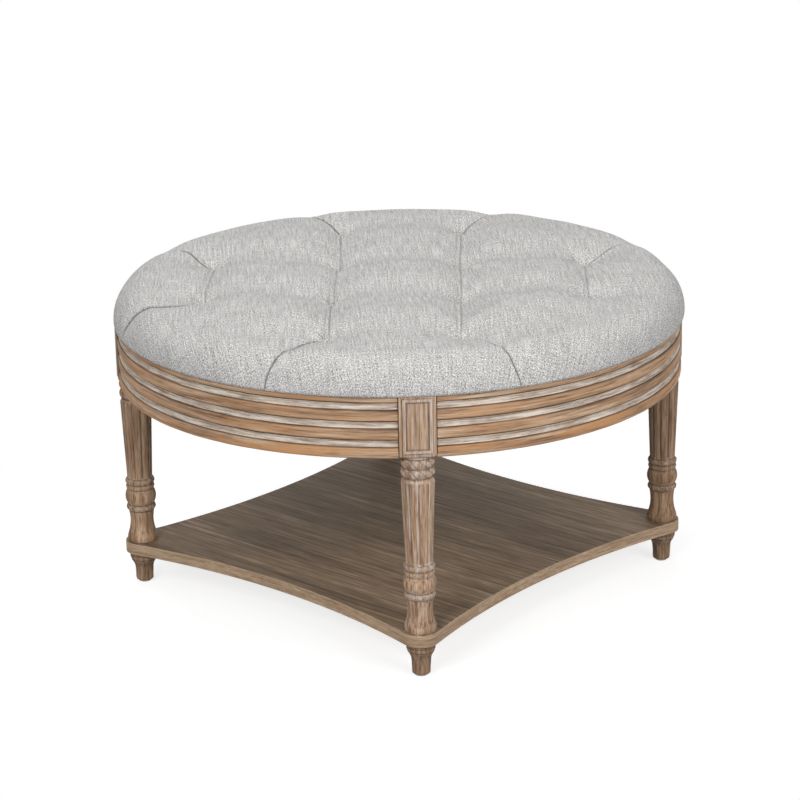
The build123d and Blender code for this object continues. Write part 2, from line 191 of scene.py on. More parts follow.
def linen_weave():
    """Heathered linen: pale warm grey threads of uneven thickness, crossing at right angles."""
    linen = Finish("linen_weave")
    cloth = linen.seen("cloth", "Vector")
    warp = linen.noise(cloth, (900, 400, 1), detail=1, roughness=0.7)
    weft = linen.noise(cloth, (470, 860, 1), (7, 3, 0), detail=1, roughness=0.7)
    slub = linen.noise(cloth, (420, 22, 1), (2, 9, 0), detail=2, roughness=0.6)
    cross = linen.noise(cloth, (24, 400, 1), (5, 1, 0), detail=2, roughness=0.6)
    fleck = linen.noise(cloth, (800, 700, 1), (1, 4, 0), detail=1)
    thread = 0.37 * warp + 0.37 * weft + 0.16 * slub + 0.10 * cross
    tone = linen.ramp(
        thread,
        (0.38, screen(90, 87, 85)),
        (0.46, screen(168, 166, 164)),
        (0.53, screen(211, 210, 208)),
        (0.61, screen(255, 254, 252)),
    )
    tone = linen.mix(linen.ease(fleck, 0.60, 0.74, 0.0, 0.4), tone, screen(164, 152, 138))
    tone = linen.mix(linen.ease(fleck, 0.24, 0.38, 0.4, 0.0), tone, screen(152, 160, 174))
    # Painted shade darkens the cloth along its narrow folds and in the hollow of each tuft
    tone = linen.mix(0.85 * linen.seen("crease"), tone, screen(80, 76, 72))
    weave = linen.bump(0.5 * warp + 0.5 * weft, 0.0009, 0.6)
    return linen.surface({"Base Color": tone, "Roughness": 0.95, "Normal": weave})


def weathered(finish, grain, pale, tan, chips, lime):
    """Colour and relief of brushed brown wood under a lime wash. The grain runs along the first axis.

    pale is how much wash lies all over, tan how warm the wood is under it, chips how patchy the wash is,
    and lime its dark, middle and light colour.
    """
    broad = finish.noise(grain, (6, 90, 90), detail=4, roughness=0.6, distortion=0.5)
    warm = finish.noise(grain, (7, 60, 60), (3, 7, 2), detail=3, roughness=0.5)
    streak = finish.noise(grain, (16, 420, 420), (4, 1, 8), detail=4, roughness=0.65)
    pore = finish.noise(grain, (40, 1300, 1300), (3, 5, 1), detail=1)
    patch = finish.noise(grain, (24, 130, 130), (9, 2, 5), detail=4, roughness=0.7)
    tone = finish.ramp(
        0.55 * broad + 0.45 * streak,
        (0.36, screen(106, 77, 55)),
        (0.45, screen(153, 119, 90)),
        (0.53, screen(186, 152, 121)),
        (0.64, screen(219, 190, 160)),
    )
    tone = finish.mix(finish.ease(warm, 0.42, 0.62) * tan, tone, screen(196, 144, 98))
    tone = finish.mix(finish.ease(streak, 0.30, 0.42, 0.65, 0.0), tone, screen(84, 60, 44))
    washed = finish.seen("wash") + pale + chips * (patch - 0.5) + 0.6 * chips * (streak - 0.5)
    chalk = finish.ramp(0.6 * streak + 0.4 * patch, *zip((0.36, 0.46, 0.58), lime))
    tone = finish.mix(finish.ease(washed, 0.26, 0.84, 0.0, 0.88), tone, chalk)
    tone = finish.mix(finish.ease(pore, 0.30, 0.40, 0.5, 0.0), tone, screen(70, 52, 40))
    # Painted shade: each piece's shade values darken its grooves, the edges of its coves and its carving, where
    # shade falls
    tone = finish.mix(0.92 * finish.seen("shade"), tone, screen(46, 33, 25))
    relief = finish.bump(0.6 * streak + 0.4 * patch, 0.0009, 0.6)
    return finish.surface({"Base Color": tone, "Roughness": 0.74, "Normal": relief})


def apron_finish():
    """The apron's wood: the grain runs round the table, and the wash lies in the coves."""
    wood = Finish("apron_wood")
    grain = wood.unrolled(APRON_RADIUS * MM)
    lime = screen(112, 98, 88), screen(182, 166, 151), screen(236, 226, 214)
    return weathered(wood, grain, pale=0.09, tan=wood.seen("tan") * 0.9, chips=1.2, lime=lime)


def leg_finish():
    """The legs' wood: the grain runs up the leg, and the wash lies in the carving."""
    wood = Finish("leg_wood")
    x, y, z = wood.split(wood.place())
    lime = screen(132, 111, 96), screen(171, 150, 134), screen(207, 192, 180)
    return weathered(wood, wood.join(z, x, y), pale=0.08, tan=0.06, chips=0.8, lime=lime)


# Where the shelf's plank grooves lie across its grain, in metres
PLANK_GROOVES = (-0.2460, -0.2415, -0.112, 0.012, 0.140)


def shelf_finish():
    """Grey-brown veneer with its grain along the front left side, and a few plank grooves."""
    veneer = Finish("shelf_veneer")
    x, y, z = veneer.split(veneer.place())
    along = (x - y) * math.sqrt(0.5)
    across = (x + y) * math.sqrt(0.5)
    grain = veneer.join(along, across, z)
    streak = veneer.noise(grain, (3.2, 150, 1), detail=5, roughness=0.65, distortion=0.3)
    fine = veneer.noise(grain, (9, 620, 1), (2, 4, 0), detail=3, roughness=0.65)
    wide = veneer.noise(grain, (2.4, 15, 1), (5, 2, 0), detail=3, roughness=0.55)
    mottle = veneer.noise(grain, (16, 60, 1), (1, 8, 0), detail=4, roughness=0.7)
    tone = veneer.ramp(
        0.36 * streak + 0.24 * wide + 0.22 * fine + 0.18 * mottle,
        (0.38, screen(76, 58, 42)),
        (0.46, screen(121, 99, 76)),
        (0.53, screen(153, 129, 103)),
        (0.61, screen(202, 177, 147)),
    )
    tone = veneer.mix(veneer.ease(fine, 0.30, 0.44, 0.60, 0.0), tone, screen(58, 44, 33))
    groove = 0.0
    for offset in PLANK_GROOVES:
        line = (across - offset).math("ABSOLUTE")
        groove = veneer.ease(line, 0.0003, 0.0010, 1.0, 0.0) + groove
    tone = veneer.mix(0.55 * groove, tone, screen(44, 34, 27))
    relief = veneer.bump(0.5 * fine + 0.3 * streak - 0.8 * groove, 0.0005, 0.5)
    return veneer.surface({"Base Color": tone, "Roughness": 0.6, "Normal": relief})


def edge_finish():
    """The shelf's edge band: paler wood with its grain along the edge."""
    wood = Finish("edge_band")
    middling_radius = 0.33
    grain = wood.unrolled(middling_radius)
    long = wood.noise(grain, (9, 190, 1), detail=4, roughness=0.65)
    mottle = wood.noise(grain, (70, 420, 1), (3, 1, 0), detail=3, roughness=0.7)
    tone = wood.ramp(
        0.5 * long + 0.5 * mottle,
        (0.36, screen(126, 99, 75)),
        (0.47, screen(164, 136, 109)),
        (0.54, screen(182, 154, 125)),
        (0.64, screen(208, 182, 154)),
    )
    tone = wood.mix(0.35 * wood.seen("rub"), tone, screen(218, 196, 170))
    return wood.surface({"Base Color": tone, "Roughness": 0.65, "Normal": wood.bump(mottle, 0.0003, 0.5)})


def plain_wood(name, pale, deep, sizes):
    """Unfinished timber inside the frame."""
    wood = Finish(name)
    grain = wood.noise(wood.place(), sizes, detail=4, roughness=0.6, distortion=0.5)
    tone = wood.ramp(grain, (0.35, deep), (0.65, pale))
    return wood.surface({"Base Color": tone, "Roughness": 0.8, "Normal": wood.bump(grain, 0.0004, 0.4)})


def plated_steel():
    steel = Finish("zinc_plated_steel")
    mottle = steel.noise(steel.place(), (260, 260, 260))
    tone = steel.ramp(mottle, (0.35, screen(150, 152, 154)), (0.65, screen(190, 191, 190)))
    rough = steel.ease(mottle, 0.3, 0.7, 0.28, 0.45)
    return steel.surface({"Base Color": tone, "Metallic": 1.0, "Roughness": rough})


def glide_nylon():
    nylon = Finish("glide_nylon")
    scuff = nylon.noise(nylon.place(), (420, 420, 420), detail=4)
    tone = nylon.ramp(scuff, (0.35, screen(196, 190, 176)), (0.65, screen(222, 217, 204)))
    return nylon.surface({"Base Color": tone, "Roughness": 0.5, "Normal": nylon.bump(scuff, 0.0002, 0.3)})


def plain_cloth(name, pale, deep, size):
    cloth = Finish(name)
    fibre = cloth.noise(cloth.place(), (size, size, size), detail=4, roughness=0.7)
    tone = cloth.ramp(fibre, (0.35, deep), (0.65, pale))
    return cloth.surface({"Base Color": tone, "Roughness": 0.95, "Normal": cloth.bump(fibre, 0.0004, 0.5)})


# Meshes


def make_piece(name, points, faces, finish, nodes, values=None, crisp=None):
    """A mesh in the table's frame, from points in millimetres, that stands for the named CAD nodes.

    Where two faces meet at more than crisp degrees, the edge is shaded sharp.
    """
    mesh = bpy.data.meshes.new(name)
    mesh.from_pydata((np.asarray(points) * MM).tolist(), [], faces)
    mesh.shade_smooth()
    if crisp:
        shaded = bmesh.new()
        shaded.from_mesh(mesh)
        for edge in shaded.edges:
            edge.smooth = edge.calc_face_angle(0) < math.radians(crisp)
        shaded.to_mesh(mesh)
        shaded.free()
    for key, value in (values or {}).items():
        flat = np.asarray(value, np.float32)
        kind, field = ("FLOAT_VECTOR", "vector") if flat.ndim == 2 else ("FLOAT", "value")
        mesh.attributes.new(key, kind, "POINT").data.foreach_set(field, flat.ravel())
    mesh.materials.append(finish)
    piece = bpy.data.objects.new(name, mesh)
    bpy.context.scene.collection.objects.link(piece)
    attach(piece, "root")
    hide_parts(*nodes)
    return piece


def sheet_faces(rows, columns, wrapped=False):
    """Quads between the points of a grid that is stored row by row."""
    faces = []
    for row in range(rows - 1):
        for column in range(columns if wrapped else columns - 1):
            after = (column + 1) % columns
            low, high = row * columns, (row + 1) * columns
            faces.append((low + column, low + after, high + after, high + column))
    return faces


def bar_faces(rows, columns):
    """Faces of a closed bar: each row of the grid runs along it, and the rows go round its section."""
    last = (rows - 1) * columns
    faces = sheet_faces(rows, columns)
    faces += [(last + k, last + k + 1, k + 1, k) for k in range(columns - 1)]
    faces.append(tuple(row * columns for row in range(rows)))
    faces.append(tuple(row * columns + columns - 1 for row in range(rows - 1, -1, -1)))
    return faces


def capped_faces(rows, columns):
    """Faces of a closed round form: each row of the grid goes round it, and the first and last are capped."""
    last = (rows - 1) * columns
    faces = sheet_faces(rows, columns, wrapped=True)
    faces.append(tuple(range(columns - 1, -1, -1)))
    faces.append(tuple(range(last, last + columns)))
    return faces


def full_turn(columns):
    """The angles of that many places, evenly spaced right round."""
    return np.linspace(0, 2 * math.pi, columns, endpoint=False)


def turned_out(points, angle, distance=0.0):
    """Points that face +X on their own axis, carried out to their place round the table."""
    turn = math.radians(angle)
    x, y, z = points.T
    x = x + distance
    return np.stack([x * math.cos(turn) - y * math.sin(turn), x * math.sin(turn) + y * math.cos(turn), z], 1)


def lathe(heights, radii, columns):
    """A turned form with a cap at each end: radii is a row of values for each height."""
    angles = full_turn(columns)
    z = np.repeat(heights, columns)
    points = np.stack([(radii * np.cos(angles)).ravel(), (radii * np.sin(angles)).ravel(), z], 1)
    return points, capped_faces(len(heights), columns)


def smooth(value, low, high):
    share = np.clip((value - low) / (high - low), 0, 1)
    return share * share * (3 - 2 * share)


def ridge(value, width):
    """1 at zero, falling away softly to both sides."""
    return np.exp(-((value / width) ** 2))


# Cushion

# The grid of tufts, in steps of TUFT_STEP: how far its rows reach in each column
COLUMN_ENDS = {-3: 1, -1: 3, 1: 3, 3: 1}
SEGMENTS = [(column, row, row + 2) for column, end in COLUMN_ENDS.items() for row in range(-end, end, 2)]
TUFTS = [(column, row) for column, end in COLUMN_ENDS.items() for row in range(-end, end + 1, 2)]
# Lines of the folds on the cover while it lies flat: those that run out towards the rim, and two soft ones
RIM_FOLDS = [
    [(-258, 109), (-272, 114), (-282, 127), (-291, 144), (-301, 162), (-312, 171)],
    [(-272, -68), (-286, -86), (-303, -98), (-320, -101), (-338, -103), (-357, -110), (-392, -118), (-412, -122)],
    [(-68, 272), (-77, 292), (-88, 316), (-104, 340), (-126, 358), (-146, 368)],
    [(-109, -258), (-125, -270), (-143, -290), (-163, -320), (-184, -347), (-203, -370), (-223, -402)],
    [(109, 258), (122, 282), (140, 305), (158, 326), (182, 342), (206, 350)],
    [(68, -272), (87, -288), (105, -320), (121, -360), (134, -388), (149, -412)],
    [(272, 68), (283, 74), (300, 86), (319, 106), (336, 126)],
]
SOFT_FOLDS = [[(258, -109), (296, -118), (334, -128), (372, -138)], [(272, 68), (250, 60), (231, 56)]]
# The rim fold at the left, whose line of painted shade is drawn broader
BROAD_SHADE_FOLD = 1
# How far the second of a pair of folds lies from the first, and which way a tuft's tuck runs on the grid
PAIR_GAP = 6.5
TUCK_WAY = 2.45
# How deep each kind of tuft or fold draws the cover in, what a fold loses of that along its line,
# and how far off the cover starts to sink towards it
TUFT_DEPTH, TUFT_REACH = 27, 100
COLUMN_DEPTH, ROW_DEPTH, GRID_REACH = 20, 9, 66
RIM_DEPTH, RIM_LOSS, RIM_REACH = 17, 12, 46
SOFT_DEPTH, SOFT_LOSS, SOFT_REACH = 16, 14, 50
# How far the middle of the cushion settles, and how far its front slumps just inside the rim
SETTLING = 14
SLUMP = 7
# The flat cover's points: how far apart its rings are, and how many points each ring has
RING_STEP = 3.7
SECTORS = 620


def eased(corners):
    """A fold's line with its corners cut to a smooth sweep."""
    points = [np.array(corner, float) for corner in corners]
    for _ in range(2):
        cut = [points[0]]
        for first, second in zip(points[:-1], points[1:]):
            cut += [0.75 * first + 0.25 * second, 0.25 * first + 0.75 * second]
        points = cut + [points[-1]]
    return points


RIM_LINES = [eased(corners) for corners in RIM_FOLDS]
SOFT_LINES = [eased(corners) for corners in SOFT_FOLDS]


def cushion_profile():
    """Radius and height down the cushion's half section, from the middle of the crown to its lower lip."""
    dome = (CUSHION_RADIUS**2 + CROWN_DROP**2) / (2 * CROWN_DROP)
    flat = CUSHION_RADIUS - SHOULDER
    reach = np.arange(0, flat + 0.1, 2.0)
    crown = np.stack([reach, CUSHION_TOP - dome + np.sqrt(dome**2 - reach**2)], 1)
    lean = math.asin(flat / dome)
    middle = crown[-1][1] - SHOULDER * math.cos(lean)
    turn = np.linspace(math.pi / 2 - lean, 0, 26)[1:]
    shoulder = np.stack([flat + SHOULDER * np.cos(turn), middle + SHOULDER * np.sin(turn)], 1)
    lip = [(399.9, 394.4), (399.4, 392.4), (398.4, 391.2), (397.2, 391.0), (396.6, 392.4)]
    return np.concatenate([crown, shoulder, lip])


def grid_way(x, y):
    """The same place measured along the tufts' rows and columns."""
    turn = math.radians(TUFT_TURN)
    return x * math.cos(turn) + y * math.sin(turn), y * math.cos(turn) - x * math.sin(turn)


def nearest(x, y, line):
    """Distance of points to a line of corners, the side they lie on, and how far along it the nearest place is."""
    best = np.full(x.shape, 1e9)
    side = np.zeros(x.shape)
    along = np.zeros(x.shape)
    corners = np.array(line, float)
    lengths = np.hypot(*np.diff(corners, axis=0).T)
    run = 0.0
    for (ax, ay), (bx, by), length in zip(corners[:-1], corners[1:], lengths):
        ux, uy = (bx - ax) / length, (by - ay) / length
        t = np.clip((x - ax) * ux + (y - ay) * uy, 0, length)
        dx, dy = x - ax - t * ux, y - ay - t * uy
        gap = np.hypot(dx, dy)
        closer = gap < best
        best = np.where(closer, gap, best)
        side = np.where(closer, np.sign(ux * dy - uy * dx), side)
        along = np.where(closer, (run + t) / lengths.sum(), along)
        run += length
    return best, side, along


def pulled(depth, share):
    """The cube of how far one tuft or fold draws the cover in, share being the distance over its reach.

    The cube root of a sum of these is close to the deepest of them, and blends where they meet.
    """
    return (depth * np.clip(1 - share, 0, 1) ** 2) ** 3


def dips(x, y):
    """How far tufts, folds and valleys draw the cover in at a point of the cloth."""
    across, back = grid_way(x, y)
    drawn = np.zeros(x.shape)
    for column, row in TUFTS:
        gap = np.hypot(across - column * TUFT_STEP, back - row * TUFT_STEP)
        drawn += pulled(TUFT_DEPTH, gap / TUFT_REACH)
    for column, low, high in SEGMENTS:
        ends = [(column * TUFT_STEP, low * TUFT_STEP), (column * TUFT_STEP, high * TUFT_STEP)]
        gap = np.hypot(nearest(across, back, ends)[0], 4)
        drawn += pulled(COLUMN_DEPTH, gap / GRID_REACH)
        # The grid is alike both ways, so the same segment with its axes swapped is one of the rows' valleys
        gap = nearest(back, across, ends)[0]
        drawn += pulled(ROW_DEPTH, (gap / GRID_REACH) ** 2)
    for line in RIM_LINES:
        gap, _, along = nearest(x, y, line)
        depth = RIM_DEPTH - RIM_LOSS * smooth(along, 0.0, 0.75)
        drawn += pulled(depth, np.hypot(gap, 3) / RIM_REACH)
    for line in SOFT_LINES:
        gap, _, along = nearest(x, y, line)
        depth = SOFT_DEPTH - SOFT_LOSS * smooth(along, 0.1, 0.8)
        drawn += pulled(depth, (gap / SOFT_REACH) ** 2)
    run = np.hypot(x, y)
    settled = SETTLING * (1 - smooth(run, 150, 270))
    slumped = SLUMP * ridge(run - 335, 52) * smooth(-y, -150, 250)
    return np.cbrt(drawn) + settled + slumped


def fold_gap(x, y):
    """Distance to the nearest narrow fold or tuft."""
    across, back = grid_way(x, y)
    gap = np.full(x.shape, 1e9)
    for column, low, high in SEGMENTS:
        for place in (column * TUFT_STEP, column * TUFT_STEP - PAIR_GAP):
            ends = [(place, low * TUFT_STEP), (place, high * TUFT_STEP)]
            gap = np.minimum(gap, nearest(across, back, ends)[0])
    for line in RIM_LINES:
        gap = np.minimum(gap, nearest(x, y, line)[0])
    for column, row in TUFTS:
        away = np.hypot(across - column * TUFT_STEP, back - row * TUFT_STEP)
        gap = np.minimum(gap, np.maximum(away - 12, 0) + 1)
    return gap


def creases(x, y):
    """The narrow folds themselves: how far they sink, and how much painted shade each point gets in a fold."""
    across, back = grid_way(x, y)
    sunk = np.zeros(x.shape)
    shade = np.zeros(x.shape)
    # Pairs of folds down the columns, which wander a little, with a raised strip between the two
    for number, (column, low, high) in enumerate(SEGMENTS):
        middle = (low + high) / 2 * TUFT_STEP
        lean = 0.012 * (back - middle) * (-1) ** number
        offset = across - column * TUFT_STEP - 0.8 * np.sin(back / 41 + 1.7 * number) - lean
        inside = smooth(back, low * TUFT_STEP - 1, low * TUFT_STEP + 5)
        inside = inside * (1 - smooth(back, high * TUFT_STEP - 5, high * TUFT_STEP + 1))
        faint = 0.6 + 0.4 * np.sin(back / 33 + 2.3 * number)
        apart = 6.2 + 0.8 * np.sin(back / 57 + number)
        main = ridge(offset, 1.1)
        second = ridge(offset + apart, 1.0)
        strip = smooth(offset, -apart, 0.7 - apart) * (1 - smooth(offset, -1.6, -0.2))
        sunk += inside * (1.1 * main + 0.8 * faint * second - 0.6 * strip)
        # Painted shade along both folds of the pair
        shade = np.maximum(shade, inside * np.maximum((0.3 + 0.2 * faint) * main, 0.4 * faint * second))
    # Folds towards the rim, each with a soft roll along one side
    for number, line in enumerate(RIM_LINES):
        gap, side, along = nearest(x, y, line)
        fade = smooth(along, 0.03, 0.12) * (1 - 0.7 * smooth(along, 0.9, 1.0))
        sunk += fade * (1.8 * ridge(gap, 1.2) - 1.1 * (side < 0) * ridge(gap - 3.4, 2.4))
        # Painted shade along each rim fold, broader along the one at the left
        wide = 2.3 if number == BROAD_SHADE_FOLD else 1.25
        shade = np.maximum(shade, fade * ridge(gap, wide))
    # Puckers round each tuft, and one short tuck that runs away from it
    for number, (column, row) in enumerate(TUFTS):
        right, up = across - column * TUFT_STEP, back - row * TUFT_STEP
        away = np.hypot(right, up)
        turn = np.arctan2(up, right)
        pucker = np.cos(5 * turn + 1.3 * number) + 0.6 * np.cos(8 * turn + 2.1 * number)
        sunk += 0.7 * pucker * ridge(away - 15, 9)
        along = right * math.cos(TUCK_WAY) + up * math.sin(TUCK_WAY)
        off = right * math.sin(TUCK_WAY) - up * math.cos(TUCK_WAY)
        tuck = smooth(along, 2, 10) * (1 - smooth(along, 16, 34)) * ridge(off, 1.3)
        sunk += 1.1 * tuck
        # Painted shade along the tuck, and in a small dark spot at the bottom of the tuft
        shade = np.maximum(shade, np.maximum(0.4 * tuck, 0.55 * ridge(away, 2.6)))
    return sunk, shade


def flat_cloth(reach):
    """The cover laid flat, in points on rings, with smaller faces near its folds."""
    rings = np.linspace(0, reach, int(reach / RING_STEP))[1:]
    turn = full_turn(SECTORS)
    sheet = bmesh.new()
    middle = sheet.verts.new((0, 0, 0))
    rows = [[sheet.verts.new((ring * math.cos(a), ring * math.sin(a), 0)) for a in turn] for ring in rings]
    for column in range(SECTORS):
        sheet.faces.new((middle, rows[0][column], rows[0][(column + 1) % SECTORS]))
    for inner, outer in zip(rows[:-1], rows[1:]):
        for column in range(SECTORS):
            after = (column + 1) % SECTORS
            sheet.faces.new((inner[column], outer[column], outer[after], inner[after]))
    # Each pass halves the faces that lie this near to a fold
    for limit in (9, 4.5):
        sheet.verts.index_update()
        x, y = np.array([point.co[:2] for point in sheet.verts]).T
        run = np.hypot(x, y)
        near = (fold_gap(x, y) < limit) & (run > 20) & (run < reach - 6)
        edges = [edge for edge in sheet.edges if near[edge.verts[0].index] and near[edge.verts[1].index]]
        bmesh.ops.subdivide_edges(sheet, edges=edges, cuts=1, use_grid_fill=True)
    sheet.verts.index_update()
    spots = np.array([point.co[:2] for point in sheet.verts])
    faces = [tuple(point.index for point in face.verts) for face in sheet.faces]
    sheet.free()
    border = np.flatnonzero(np.hypot(*spots.T) > reach - 0.1)
    border = border[np.argsort(np.arctan2(spots[border, 1], spots[border, 0]))]
    return spots, faces, border.tolist()


def drape(spots, profile, arc):
    """The flat cloth's points laid down the half section and drawn in, and the painted shade each one gets in a
    fold.
    """
    x, y = spots.T
    run = np.hypot(x, y)
    fine = np.linspace(0, arc[-1], 2400)
    radius, height = np.interp(fine, arc, profile[:, 0]), np.interp(fine, arc, profile[:, 1])
    window = 25
    box = np.ones(window) / window
    slope_r = np.convolve(np.pad(np.gradient(radius, fine), window // 2, "edge"), box, "valid")
    slope_z = np.convolve(np.pad(np.gradient(height, fine), window // 2, "edge"), box, "valid")
    size = np.hypot(slope_r, slope_z)
    out_r, out_z = np.interp(run, fine, -slope_z / size), np.interp(run, fine, slope_r / size)
    sunk, shade = creases(x, y)
    hold = 1 - smooth(run, arc[-1] - 40, arc[-1] - 4)
    slack = 0.5 * np.sin(x / 31 + 1.1) * np.sin(y / 27) + 0.3 * np.sin(x / 17 - y / 23)
    drawn = (dips(x, y) + slack * smooth(run, 0, 60)) * hold + sunk * (0.4 + 0.6 * hold)
    reach = np.interp(run, fine, radius) - out_r * drawn
    level = np.interp(run, fine, height) - out_z * drawn
    away = np.maximum(run, 1e-9)
    return np.stack([x / away * reach, y / away * reach, level], 1), shade


def tufted_cushion():
    """The cover over its wadding, with its tufts, folds and drawn-in sides, closed underneath."""
    profile = cushion_profile()
    arc = np.concatenate([[0], np.cumsum(np.hypot(*np.diff(profile, axis=0).T))])
    spots, faces, border = flat_cloth(arc[-1])
    points, shade = drape(spots, profile, arc)
    ways = spots[border] / np.hypot(*spots[border].T)[:, None]
    count = len(border)
    seat, roof = APRON_TOP + 0.3, APRON_TOP + 1.2
    under = ((395.2, seat), (UNDER_RADIUS, seat), (UNDER_RADIUS, roof))
    rings = [np.column_stack([ways * radius, np.full(count, level)]) for radius, level in under]
    start = len(points)
    whole = np.concatenate([points, *rings, [[0, 0, roof]]])
    for k in range(count):
        after = (k + 1) % count
        faces.append((border[k], start + k, start + after, border[after]))
        for ring in range(2):
            low, high = start + ring * count, start + (ring + 1) * count
            faces.append((low + k, high + k, high + after, low + after))
        faces.append((start + 2 * count + k, len(whole) - 1, start + 2 * count + after))
    extra = len(whole) - len(points)
    threads = np.column_stack([spots * MM, np.zeros(len(spots))])
    threads = np.concatenate([threads, np.repeat(threads[-1:], extra, 0)])
    values = {"cloth": threads, "crease": np.concatenate([shade, np.zeros(extra)])}
    cover = make_piece("tufted_cushion", whole, faces, linen_weave(), ["tufted_cover"], values)


# Apron

# The brown bands from the bottom up: the height of each, and of the washed cove above it
BANDS = ((14, 11), (14, 11), (14, 11), (10, 0))
# The quirks at the foot and the head of a cove: depth, height above the band, and how washed and shaded it is
COVE_FOOT = ((2.2, 0.3, 0.2, 0.85), (2.6, 0.9, 0.3, 0.7), (1.9, 1.3, 0.7, 0.2))
COVE_HEAD = ((3.4, 7.9, 0.95, 0.0), (2.2, 8.6, 1.0, 0.0), (2.0, 9.5, 0.9, 0.05), (3.6, 9.9, 0.2, 0.95),
             (3.6, 10.7, 0.1, 0.95))


def rail_profile():
    """The apron's outer face from bottom to top: brown bands, and washed coves cut in between them.

    Each row is how far it stands out, its height, and how washed, shaded and tan it is.
    """
    rows = []
    low = APRON_BOTTOM
    for reed, cove in BANDS:
        tan = 1.0 if low == APRON_BOTTOM else 0.45
        for share in np.linspace(0, 1, 11):
            edge = ridge(min(share, 1 - share), 0.03)
            rows.append((-0.9 * abs(2 * share - 1) ** 7, low + reed * share, 0.0, 0.5 * edge, tan))
        low += reed
        if cove:
            rows += [(-depth, low + rise, wash, shade, 0) for depth, rise, wash, shade in COVE_FOOT]
            for share in np.linspace(0, 1, 9):
                dip = 1.7 + 2.0 * math.sin(0.5 * math.pi * share) ** 1.4
                rows.append((-dip, low + 1.6 + 5.6 * share, 0.85 - 0.25 * share, 0.12 * share, 0))
            rows += [(-depth, low + rise, wash, shade, 0) for depth, rise, wash, shade in COVE_HEAD]
            low += cove
    return np.array(rows).T


def rail_sweep(radius, share):
    """Angles along a rail at that radius, from one leg's block to the next as share goes from 0 to 1."""
    start = math.asin(RAIL_END / radius)
    return start + share * (math.pi / 2 - 2 * start)


def apron_rails(finish):
    """The four rails of the apron, with their faces a little uneven from the brushing."""
    depths, heights, wash, shade, tan = rail_profile()
    columns = 161
    share = np.linspace(0, 1, columns)
    inner_face = np.zeros(2 * columns)
    values = {key: np.concatenate([np.repeat(value, columns), inner_face])
              for key, value in (("wash", wash), ("shade", shade), ("tan", tan))}
    for number, (side, angle) in enumerate(RAIL_ANGLES.items()):
        points = []
        for depth, height in zip(depths, heights):
            turn = rail_sweep(APRON_RADIUS + depth, share)
            rub = 0.16 * np.sin(turn * 37 + height / 3 + number) + 0.10 * np.sin(turn * 91 - height / 5)
            radius = APRON_RADIUS + depth + rub * np.sin(share * math.pi)
            points.append(np.stack([radius * np.cos(turn), radius * np.sin(turn), np.full(columns, height)], 1))
        turn = rail_sweep(RAIL_INNER, share)
        for height in (APRON_TOP, APRON_BOTTOM):
            ring = [RAIL_INNER * np.cos(turn), RAIL_INNER * np.sin(turn), np.full(columns, height)]
            points.append(np.stack(ring, 1))
        make_piece(f"apron_moulding_{side}", turned_out(np.concatenate(points), angle),
                   bar_faces(len(points), columns), finish, [f"apron_rail_{side}"], values, crisp=62)


# Legs

# Height and radius at the lower and upper end of each turned length, and how far it swells between them
TURNING = [
    (64, 20.4, 67, 21.1, 0.15),
    (67, 21.1, 72, 21.0, 0.3),
    (72, 21.0, 110, 18.2, -3.0),
    (110, 18.4, 119.4, 18.4, 2.2),
    (119.4, 18.2, 142, 18.4, 3.5),
    (142, 18.6, 149.5, 18.8, 1.5),
    (149.5, 18.6, 159, 18.2, 2.1),
    (159, 18.0, 276, 22.3, 0.0),
    (276, 20.2, 278.6, 20.2, 0.0),
    (278.6, 20.0, 292, 20.0, 1.7),
    (292, 20.0, 305.6, 20.0, 1.6),
    (305.6, 20.2, 309, 20.2, 0.0),
]
# Lower and upper edge of each carved rope, its number of strands and how far they stand out
ROPES = [(110.6, 118.8, 12, 0.6), (150, 158.6, 12, 0.7), (279, 291.6, 10, 1.9), (292.4, 305.2, 10, 1.9)]
# Heights where one turned form meets the next in a narrow groove
RING_EDGES = (110, 119.4, 142, 149.5, 159, 278.6, 292, 305.6)
# Lower and upper end of the reeded shaft, and its number of reeds
SHAFT_LOW, SHAFT_HIGH = 159, 276
REEDS = 10
# Stretches of the leg, and how far apart its rings of points lie there: close together where it is carved
LEG_STEPS = [(64, 72, 1.0), (72, 109, 2.5), (109, 120.9, 0.55), (121.4, 148, 1.5), (148.6, 169, 0.6),
             (170, 268, 3.5), (268, 309.1, 0.55)]


def turned_radius(heights):
    """The leg's radius at each height, before it is carved."""
    radius = np.zeros(len(heights))
    for low, low_radius, high, high_radius, swell in TURNING:
        inside = (heights >= low) & (heights <= high)
        share = (heights[inside] - low) / (high - low)
        radius[inside] = low_radius + (high_radius - low_radius) * share + swell * (1 - (2 * share - 1) ** 2)
    return radius


